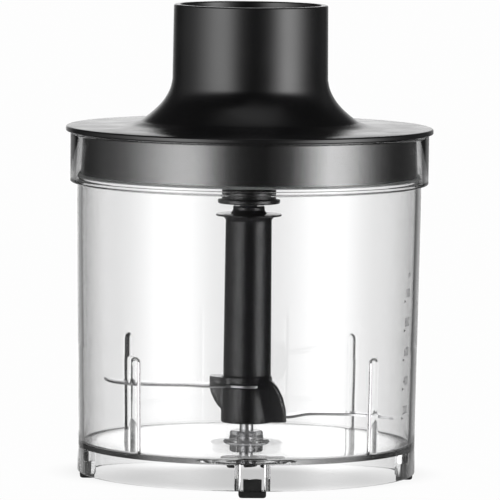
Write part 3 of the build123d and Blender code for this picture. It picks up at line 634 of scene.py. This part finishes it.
lid_profile = rounded([
    (8.2, 136.4, 0.2), (8.2, 129.2, 0), (9.43, 129.2, 0), (9.43, 126.2, 0.2), (11.7, 126.2, 0.4), (11.7, 134.0, 0.8), (71.0, 134.0, 0.8),
    (71.0, 131.6, 0.4), (71.9, 130.75, 0.3), (73.3, 130.75, 0.5), (73.3, 149.8, 0.1), (71.0, 149.8, 0.1), (71.0, 136.4, 0.5), (31.0, 136.4, 0.5), (31.0, 155.0, 0.3),
    (28.03, 155.0, 0.1), (28.03, 140.9, 0.1), (26.3, 140.9, 0.2), (26.3, 136.4, 0.3),
], 4)
lid_base = lathe("lid_base_moulding", lid_profile, M["gloss"], "lid", SEG, 34.0, ("lid_base",))

lathe("lid_seal_ring", rounded([
    (71.4, 131.6, 0.1), (71.4, 130.9, 0.3), (72.9, 130.4, 0.3), (74.6, 130.4, 0.25), (74.6, 130.95, 0.2), (73.2, 131.6, 0.2),
], 4), M["silicone"], "lid", SEG, 40.0, ("lid_seal",))

lathe("boss_ring_moulding", rounded([
    (8.2, 118.9, 0.3), (13.5, 118.9, 0.5), (13.5, 121.0, 0.6), (11.8, 121.0, 0.4), (11.8, 124.4, 0.5), (10.1, 124.4, 0.4), (10.1, 126.2, 0.1),
    (9.4, 126.2, 0.1), (9.4, 129.1, 0.2), (8.2, 129.1, 0.2),
], 4), M["satin"], "lid", 128, 40.0, ("boss_ring",))

# ---------------------------------------------------------------------------
# knife
# ---------------------------------------------------------------------------

lathe("blade_stem_moulding", rounded([
    (5.0, 40.5, 0), (7.95, 40.5, 0.1), (7.95, 44.3, 0.1), (10.4, 44.3, 0.35), (10.02, 111.6, 0.9), (11.2, 113.2, 0.4), (14.3, 113.5, 0.25), (14.3, 114.25, 0.25),
    (7.9, 114.4, 0.4), (6.9, 116.0, 1.2), (6.9, 117.3, 0.3), (6.7, 117.8, 0.2), (3.7, 117.8, 0.1), (3.7, 106.0, 0), (3.2, 104.0, 0), (5.0, 103.6, 0),
], 5), M["knife"], "blade", 128, 40.0, ("blade_stem",))

# ---------------------------------------------------------------------------
# hub of the knife: one soft-edged moulding, worked out as a distance field
# ---------------------------------------------------------------------------

def smooth_min(a, b, k):
    h = np.clip(0.5 + 0.5 * (b - a) / k, 0.0, 1.0)
    return b * (1 - h) + a * h - k * h * (1 - h)


def smooth_max(a, b, k):
    return -smooth_min(-a, -b, k)


def surface_nets(name, field, low, step, mat, body, replaces):
    """One quad mesh on the zero level of a sampled field, its points at the mean of the edge crossings."""
    inside = field < 0
    nx, ny, nz = field.shape
    corner = [(i, j, k) for i in (0, 1) for j in (0, 1) for k in (0, 1)]
    count = np.zeros((nx - 1, ny - 1, nz - 1), dtype=np.int32)
    for i, j, k in corner:
        count += inside[i:nx - 1 + i, j:ny - 1 + j, k:nz - 1 + k]
    mixed = (count > 0) & (count < 8)
    cells = np.argwhere(mixed)
    index = -np.ones(mixed.shape, dtype=np.int64)
    index[mixed] = np.arange(len(cells))
    total = np.zeros((len(cells), 3))
    hits = np.zeros(len(cells))
    cx, cy, cz = cells.T
    for a in corner:
        for axis in range(3):
            if a[axis]:
                continue
            b = list(a)
            b[axis] = 1
            fa = field[cx + a[0], cy + a[1], cz + a[2]]
            fb = field[cx + b[0], cy + b[1], cz + b[2]]
            cross = (fa < 0) != (fb < 0)
            t = np.where(cross, fa / np.where(cross, fa - fb, 1.0), 0.0)
            p = np.tile(np.array(a, dtype=float), (len(cells), 1))
            p[:, axis] = t
            total[cross] += p[cross]
            hits[cross] += 1
    points = (cells + total / hits[:, None]) * step + np.array(low)
    faces = []
    for axis in range(3):
        o1, o2 = (axis + 1) % 3, (axis + 2) % 3
        lo = [slice(1, -1)] * 3
        hi = [slice(1, -1)] * 3
        lo[axis] = slice(0, -1)
        hi[axis] = slice(1, None)
        a, b = inside[tuple(lo)], inside[tuple(hi)]
        for sign in (0, 1):
            where = np.argwhere((a & ~b) if sign == 0 else (~a & b))
            where[:, o1] += 1
            where[:, o2] += 1
            quad = []
            for d1, d2 in ((-1, -1), (0, -1), (0, 0), (-1, 0)):
                q = where.copy()
                q[:, o1] += d1
                q[:, o2] += d2
                quad.append(index[q[:, 0], q[:, 1], q[:, 2]])
            quad = np.stack(quad, axis=1)
            if sign:
                quad = quad[:, ::-1]
            faces.extend(quad.tolist())
    return finish_mesh(name, points.tolist(), faces, mat, body, 50.0, replaces)


def hub_field(x, y, z):
    r = np.hypot(x, y)

    def slab(v, lo, hi):
        return np.maximum(lo - v, v - hi)

    drum = smooth_max(r - 11.2, slab(z, 23.4, 39.25), 0.7)
    ring = smooth_max(r - 10.9, slab(z, 40.55, 44.2), 0.9)
    core = np.maximum(r - 8.0, slab(z, 24.0, 43.0))
    out = np.minimum(np.minimum(drum, ring), core)
    # right-hand carrier: convex outer edge, flat face towards the front that leans back lower down
    zz = np.clip(z, 23.9, 43.2)
    edge = np.interp(zz, [23.9, 29.6, 34.8, 38.2, 40.6, 43.2], [17.15, 16.75, 15.5, 13.9, 12.3, 9.4])
    face = np.interp(zz, [23.9, 39.0, 43.2], [-8.3, -10.5, -10.2])
    right = smooth_max((x - edge) * 0.92, face - y, 2.6)
    right = smooth_max(right, y - 6.5 - 0.12 * (x - 8), 2.0)
    right = np.maximum(right, -x)
    right = smooth_max(right, slab(z, 23.9, 43.0), 0.6)
    out = smooth_min(out, right, 0.7)
    # left-hand carrier: web under the upper blade
    edge = np.interp(np.clip(z, 29.0, 39.3), [29.0, 30.6, 33.1, 36.2, 39.3], [10.9, 12.6, 14.2, 15.6, 16.4])
    left = smooth_max((-x - edge) * 0.9, y - 9.6, 2.6)
    left = smooth_max(left, -y - 4.0 + 0.25 * (-x - 10), 2.2)
    left = np.maximum(left, x)
    left = smooth_max(left, slab(z, 29.0, 39.25), 0.5)
    out = smooth_min(out, left, 0.7)
    # shelf over the upper blade
    shelf = np.hypot(np.maximum(np.abs(x + 9.0) - 2.6, 0.0), np.maximum(np.abs(y - 0.4 + 0.10 * (x + 9)) - 2.6, 0.0)) - 4.7
    shelf = smooth_max(shelf, slab(z, 40.55, 43.7 + 0.045 * (-x - 8)), 0.6)
    out = smooth_min(out, shelf, 0.9)
    # seats of the two blades and the bore
    out = np.maximum(out, -np.maximum(slab(z, 25.38, 26.62), np.maximum(7.0 - x, slab(y, -6.6, 8.7))))
    out = np.maximum(out, 5.0 - r)
    return out


def hub():
    step = 0.3
    low = (-18.0, -13.2, 22.6)
    n = (int(36.6 / step), int(26.4 / step), int(22.6 / step))
    gx = low[0] + step * np.arange(n[0])
    gy = low[1] + step * np.arange(n[1])
    gz = low[2] + step * np.arange(n[2])
    x, y, z = np.meshgrid(gx, gy, gz, indexing="ij")
    return surface_nets("blade_hub_moulding", hub_field(x, y, z), low, step, M["knife"], "blade", ("blade_hub",))


hub()

LEAD = [
    (0.0, 8.5), (10.0, 8.6), (20.0, 8.6), (30.0, 8.3), (40.0, 7.5), (48.0, 5.6), (53.8, 2.2), (58.0, -3.2), (60.7, -10.0), (62.3, -18.2),
]
TRAIL = [
    (62.3, -18.2), (57.0, -13.6), (52.0, -8.8), (46.0, -5.9), (38.0, -4.6), (28.0, -4.3), (16.0, -5.2), (8.0, -6.6), (0.0, -7.6),
]


def blade(name, node, z, flip, rise):
    """A ground blade: full thickness along the back, bevelled to a fine edge along the convex side.

    It is set up by rise between the hub and its working length."""
    lead = spline(LEAD, 8)
    trail = list(reversed(spline(TRAIL, 9)))
    m = 96

    def resample(pts, count):
        lens = [0.0]
        for a, b in zip(pts, pts[1:]):
            lens.append(lens[-1] + math.dist(a, b))
        res, i = [], 0
        for k in range(count + 1):
            want = lens[-1] * k / count
            while i < len(lens) - 2 and lens[i + 1] < want:
                i += 1
            f = (want - lens[i]) / max(lens[i + 1] - lens[i], 1e-9)
            res.append((pts[i][0] + (pts[i + 1][0] - pts[i][0]) * f, pts[i][1] + (pts[i + 1][1] - pts[i][1]) * f))
        return res

    lead, trail = resample(lead, m), resample(trail, m)
    th = 1.2
    verts, faces = [], []
    # stations across: edge, end of the bevel, back edge roundings, on the top and on the bottom
    across = [(0.0, 0.42), (0.02, 0.30), (0.30, 0.0), (0.6, 0.0), (0.97, 0.0), (1.0, 0.25)]
    per = len(across) * 2
    for k in range(m + 1):
        (lx, ly), (tx, ty) = lead[k], trail[k]
        u = k / m
        grind = min(1.0, max(0.0, (u - 0.10) / 0.08))
        for s, drop in across:
            d = drop * (grind if s < 0.5 else 1.0) if s not in (0.0,) else (0.42 * grind + 0.05)
            verts.append((lx + (tx - lx) * s, ly + (ty - ly) * s, z + th - d * th))
        for s, drop in reversed(across):
            d = 0.05 if s in (0.0, 1.0) else 0.0
            if s == 0.0:
                d = 0.42 * grind + 0.05
            verts.append((lx + (tx - lx) * s, ly + (ty - ly) * s, z + d * th))
    for k in range(m):
        for i in range(per):
            j = (i + 1) % per
            faces.append((k * per + i, k * per + j, (k + 1) * per + j, (k + 1) * per + i))
    faces.append(tuple(range(per)))
    faces.append(tuple(reversed([m * per + i for i in range(per)])))
    set_up = []
    for x, y, zz in verts:
        t = min(1.0, max(0.0, (x - 17.2) / 11.0))
        set_up.append((x, y, zz + rise * t * t * (3 - 2 * t)))
    verts = set_up
    if flip:
        verts = [(-x, -y, zz) for x, y, zz in verts]
    ob = finish_mesh(name, verts, faces, M["blade"], "blade", 25.0, (node,))
    return ob


blade("lower_blade_ground", "lower_blade", 25.4, False, 1.4)
blade("upper_blade_ground", "upper_blade", 39.3, True, 0.4)
lathe("upper_blade_ring", rounded([
    (8.1, 39.3, 0.1), (11.25, 39.3, 0.25), (11.25, 40.5, 0.25), (8.1, 40.5, 0.1),
], 4), M["drive"], "blade", 128, 40.0)
lathe("lower_blade_ring", rounded([
    (5.7, 25.4, 0.1), (10.2, 25.4, 0.2), (10.2, 26.6, 0.2), (5.7, 26.6, 0.1),
], 4), M["blade"], "blade", 96, 40.0)

# ---------------------------------------------------------------------------
# CAD nodes that stay: a better material on each
# ---------------------------------------------------------------------------

KEPT = {
    "drive_head": ("drive", "drive_steel"),
    "stem_bush_upper": ("bronze", "bush_bronze"),
    "stem_bush_lower": ("bronze", "bush_bronze"),
    "output_bush": ("bronze", "bush_bronze"),
    "input_bush": ("bronze", "bush_bronze"),
    "output_seal": ("seal", "seal_black"),
    "input_seal": ("seal", "seal_black"),
    "ring_gear": ("nylon", "gear_nylon"),
    "gearbox_cover": ("grey", "case_grey"),
    "gearbox_screws": ("screw", "screw_steel"),
    "lid_screws": ("screw", "screw_steel"),
    "input_shaft": ("drive", "drive_steel"),
    "sun_gear": ("drive", "drive_steel"),
    "input_clip": ("screw", "screw_steel"),
    "input_coupling": ("grey", "case_grey"),
    "planet_carrier": ("grey", "case_grey"),
    "carrier_plate": ("drive", "drive_steel"),
    "planet_pins": ("drive", "drive_steel"),
    "planet_gear_1": ("nylon", "gear_nylon"),
    "planet_gear_2": ("nylon", "gear_nylon"),
    "planet_gear_3": ("nylon", "gear_nylon"),
}
for node, (key, slot) in KEPT.items():
    o = frame["nodes"][node]
    o.data.materials.clear()
    o.data.materials.append(M[key])


# ---------------------------------------------------------------------------
# volume scale printed on the bowl
# ---------------------------------------------------------------------------

def wall_radius(z):
    pts = [(16.0, 73.3), (33.0, 73.5), (77.0, 74.2), (120.0, 74.8)]
    for (z0, r0), (z1, r1) in zip(pts, pts[1:]):
        if z <= z1:
            return r0 + (r1 - r0) * (z - z0) / (z1 - z0)
    return 74.8


def wall_print(name, text, z, azimuth, size, narrow):
    """Flat lettering wrapped on the outside of the wall as a thin layer of ink."""
    cu = bpy.data.curves.new(name, "FONT")
    cu.body = text
    cu.size = size * MM
    cu.align_x = "LEFT"
    cu.align_y = "CENTER"
    cu.resolution_u = 4
    tmp = bpy.data.objects.new(name + "_flat", cu)
    scene.collection.objects.link(tmp)
    dg = bpy.context.evaluated_depsgraph_get()
    me = bpy.data.meshes.new_from_object(tmp.evaluated_get(dg))
    bpy.data.objects.remove(tmp)
    bm = bmesh.new()
    bm.from_mesh(me)
    bmesh.ops.triangulate(bm, faces=bm.faces)
    bmesh.ops.subdivide_edges(bm, edges=[e for e in bm.edges if e.calc_length() > 0.0008], cuts=2)
    a0 = math.radians(azimuth)
    for v in bm.verts:
        x, y = v.co.x / MM * narrow, v.co.y / MM
        r = wall_radius(z + y) + 0.03
        a = a0 + x / r
        v.co = Vector((r * math.sin(a) * MM, -r * math.cos(a) * MM, (z + y + LIFT) * MM))
    bmesh.ops.recalc_face_normals(bm, faces=bm.faces)
    bm.to_mesh(me)
    bm.free()
    ob = finish_object(name, me, M["ink"], "bowl", 60.0)
    return ob


def wall_arrow(name, z, azimuth, size):
    verts, faces = [], []
    for u, v in ((0.0, -0.5), (0.0, 0.5), (1.0, 0.0), (0.35, 0.0)):
        r = wall_radius(z) + 0.03
        a = math.radians(azimuth) + u * size / r
        verts.append((r * math.sin(a), -r * math.cos(a), z + v * size * 0.8))
    return finish_mesh(name, verts, [(0, 3, 1), (0, 2, 3), (3, 2, 1)], M["ink"], "bowl", 60.0, recalc=False)


for text, z in (("200", 32.4), ("400", 45.0), ("600", 57.6), ("800", 70.3), ("1000", 82.9)):
    wall_print("scale_number_" + text, text, z, 63.4, 5.4, 0.64 if len(text) == 3 else 0.5)
    wall_arrow("scale_arrow_" + text, z - 3.3, 62.6, 1.7)
wall_print("scale_unit", "ml", 91.0, 65.5, 4.2, 0.6)


# ---------------------------------------------------------------------------
# stage: pale floor, soft world light with a pale backdrop at the far side
# ---------------------------------------------------------------------------

def floor_material():
    """White table: an even pale tone seen directly, dimmer as a light source, with a painted shadow under the bowl.

    It fades out well before its rim, so it meets the pale surround without a line."""
    m = bpy.data.materials.new("stage_floor")
    m.use_nodes = True
    nt = m.node_tree
    nt.nodes.clear()
    new = nt.nodes.new
    link = nt.links.new
    out = new("ShaderNodeOutputMaterial")
    emi = new("ShaderNodeEmission")
    emi.inputs["Color"].default_value = (1, 1, 1, 1)
    tc = new("ShaderNodeTexCoord")
    ln = new("ShaderNodeVectorMath")
    ln.operation = "LENGTH"
    link(tc.outputs["Object"], ln.inputs[0])
    under = new("ShaderNodeVectorMath")
    under.operation = "DISTANCE"
    squeeze = new("ShaderNodeVectorMath")
    squeeze.operation = "MULTIPLY"
    squeeze.inputs[1].default_value = (0.80, 1.0, 1.0)
    link(tc.outputs["Object"], squeeze.inputs[0])
    link(squeeze.outputs["Vector"], under.inputs[0])
    under.inputs[1].default_value = (0.0, 0.018, 0.0)

    def fade(value, a, b, x, y, smooth=True):
        n = new("ShaderNodeMapRange")
        if smooth:
            n.interpolation_type = "SMOOTHSTEP"
        n.inputs["From Min"].default_value = a
        n.inputs["From Max"].default_value = b
        n.inputs["To Min"].default_value = x
        n.inputs["To Max"].default_value = y
        link(value, n.inputs["Value"])
        return n.outputs["Result"]

    # painted shadow: the table's glow is darkened to 0.64 in an ellipse under the bowl, a contact shadow painted into
    # the emission
    shade = fade(under.outputs["Value"], 0.030, 0.073, 0.64, 0.985)
    lp = new("ShaderNodeLightPath")
    bounced = new("ShaderNodeMath")
    bounced.operation = "ADD"
    link(lp.outputs["Glossy Depth"], bounced.inputs[0])
    link(lp.outputs["Diffuse Depth"], bounced.inputs[1])
    dim = fade(bounced.outputs[0], 0.0, 1.0, 1.0, 0.35, False)
    mul = new("ShaderNodeMath")
    mul.operation = "MULTIPLY"
    link(shade, mul.inputs[0])
    link(dim, mul.inputs[1])
    link(mul.outputs[0], emi.inputs["Strength"])
    clear = new("ShaderNodeBsdfTransparent")
    mix = new("ShaderNodeMixShader")
    link(fade(ln.outputs["Value"], 0.082, 0.15, 0.0, 1.0), mix.inputs[0])
    link(emi.outputs[0], mix.inputs[1])
    link(clear.outputs[0], mix.inputs[2])
    link(mix.outputs[0], out.inputs["Surface"])
    return m


bm = bmesh.new()
bmesh.ops.create_circle(bm, cap_ends=True, radius=0.75, segments=96)
me = bpy.data.meshes.new("stage_floor")
bm.to_mesh(me)
bm.free()
floor = bpy.data.objects.new("stage_floor", me)
scene.collection.objects.link(floor)
floor.location = (0, 0, -0.00005)
me.materials.append(floor_material())


def world():
    w = bpy.data.worlds.new("studio")
    scene.world = w
    w.use_nodes = True
    nt = w.node_tree
    nt.nodes.clear()
    new = nt.nodes.new

    def val(op, a, b=None, c=None):
        n = new("ShaderNodeMath")
        n.operation = op
        for i, v in enumerate((a, b, c)):
            if v is None:
                continue
            if isinstance(v, (int, float)):
                n.inputs[i].default_value = v
            else:
                nt.links.new(v, n.inputs[i])
        return n.outputs[0]

    def fade(v, a, b, x, y):
        n = new("ShaderNodeMapRange")
        n.interpolation_type = "SMOOTHSTEP"
        n.inputs["From Min"].default_value = a
        n.inputs["From Max"].default_value = b
        n.inputs["To Min"].default_value = x
        n.inputs["To Max"].default_value = y
        nt.links.new(v, n.inputs["Value"])
        return n.outputs[0]

    out = new("ShaderNodeOutputWorld")
    bg = new("ShaderNodeBackground")
    bg.inputs["Color"].default_value = (1, 1, 1, 1)
    nt.links.new(bg.outputs[0], out.inputs["Surface"])
    tc = new("ShaderNodeTexCoord")
    sep = new("ShaderNodeSeparateXYZ")
    nt.links.new(tc.outputs["Generated"], sep.inputs[0])
    X, Y, Z = sep.outputs
    az = val("MULTIPLY", val("ARCTAN2", X, val("MULTIPLY", Y, -1.0)), 180 / math.pi)      # 0 at the front, + to the right
    el = val("MULTIPLY", val("ARCSINE", Z), 180 / math.pi)

    # strength of the side lights round the object, by azimuth
    profile = (
        (-150, 0.02), (-134, 0.03), (-125, 0.08), (-117, 0.15), (-102, 0.26), (-90, 0.50), (-79, 0.95), (-69, 1.50), (-59, 2.10),
        (-50, 2.40), (-41, 2.40), (-33, 1.85), (-24, 0.85), (-16, 0.28), (-8, 0.10), (0, 0.05), (8, 0.04), (17, 0.12), (25, 0.27),
        (33, 0.90), (42, 2.10), (51, 3.30), (60, 3.20), (70, 2.30), (80, 1.15), (91, 0.38), (104, 0.10), (118, 0.05), (136, 0.08), (150, 0.02),
    )
    ramp = new("ShaderNodeValToRGB")
    peak = 4.0
    el_ = ramp.color_ramp.elements
    for i, (deg, v) in enumerate(profile):
        pos = (deg + 180.0) / 360.0
        if i == 0:
            e = el_[0]
            e.position = pos
        elif i == len(profile) - 1:
            e = el_[-1]
            e.position = pos
        else:
            e = el_.new(pos)
        e.color = (v / peak, v / peak, v / peak, 1)
    nt.links.new(val("DIVIDE", val("ADD", az, 180.0), 360.0), ramp.inputs["Fac"])
    window = val("MULTIPLY", fade(el, -30.0, -14.0, 0.0, 1.0), fade(el, 22.0, 38.0, 1.0, 0.0))
    total = val("MULTIPLY", val("MULTIPLY", ramp.outputs["Color"], peak), window)
    # pale backdrop at the far side
    side = fade(val("ABSOLUTE", az), 148.0, 158.0, 0.0, 0.26)
    middle = fade(val("ABSOLUTE", az), 163.0, 176.0, 0.0, 1.2)
    back = val("MULTIPLY", val("ADD", side, middle), fade(el, 7.0, 20.0, 1.0, 0.0))
    total = val("ADD", total, back)
    # soft top light and a dim room
    total = val("ADD", total, fade(el, 60.0, 85.0, 0.0, 0.22))
    total = val("ADD", total, 0.014)
    # straight through to the background, or only through clear plastic: pale
    lp = new("ShaderNodeLightPath")
    bounced = val("ADD", lp.outputs["Glossy Depth"], lp.outputs["Diffuse Depth"])
    plain = val("LESS_THAN", bounced, 0.5)
    mix = val("ADD", val("MULTIPLY", plain, 0.985), val("MULTIPLY", val("SUBTRACT", 1.0, plain), total))
    nt.links.new(mix, bg.inputs["Strength"])


world()


def area(name, loc, aim, size, power):
    li = bpy.data.lights.new(name, "AREA")
    li.shape = "RECTANGLE"
    li.size, li.size_y = size
    li.energy = power
    ob = bpy.data.objects.new(name, li)
    scene.collection.objects.link(ob)
    ob.location = loc
    ob.rotation_mode = "QUATERNION"
    ob.rotation_quaternion = (Vector(aim) - Vector(loc)).to_track_quat("-Z", "Y")
    return ob


area("soft_top", (0.15, -0.25, 1.5), (0, 0, 0.1), (0.9, 0.9), 0.25)

scene.cycles.max_bounces = 24
scene.cycles.transmission_bounces = 20
scene.cycles.glossy_bounces = 10
scene.cycles.transparent_max_bounces = 16
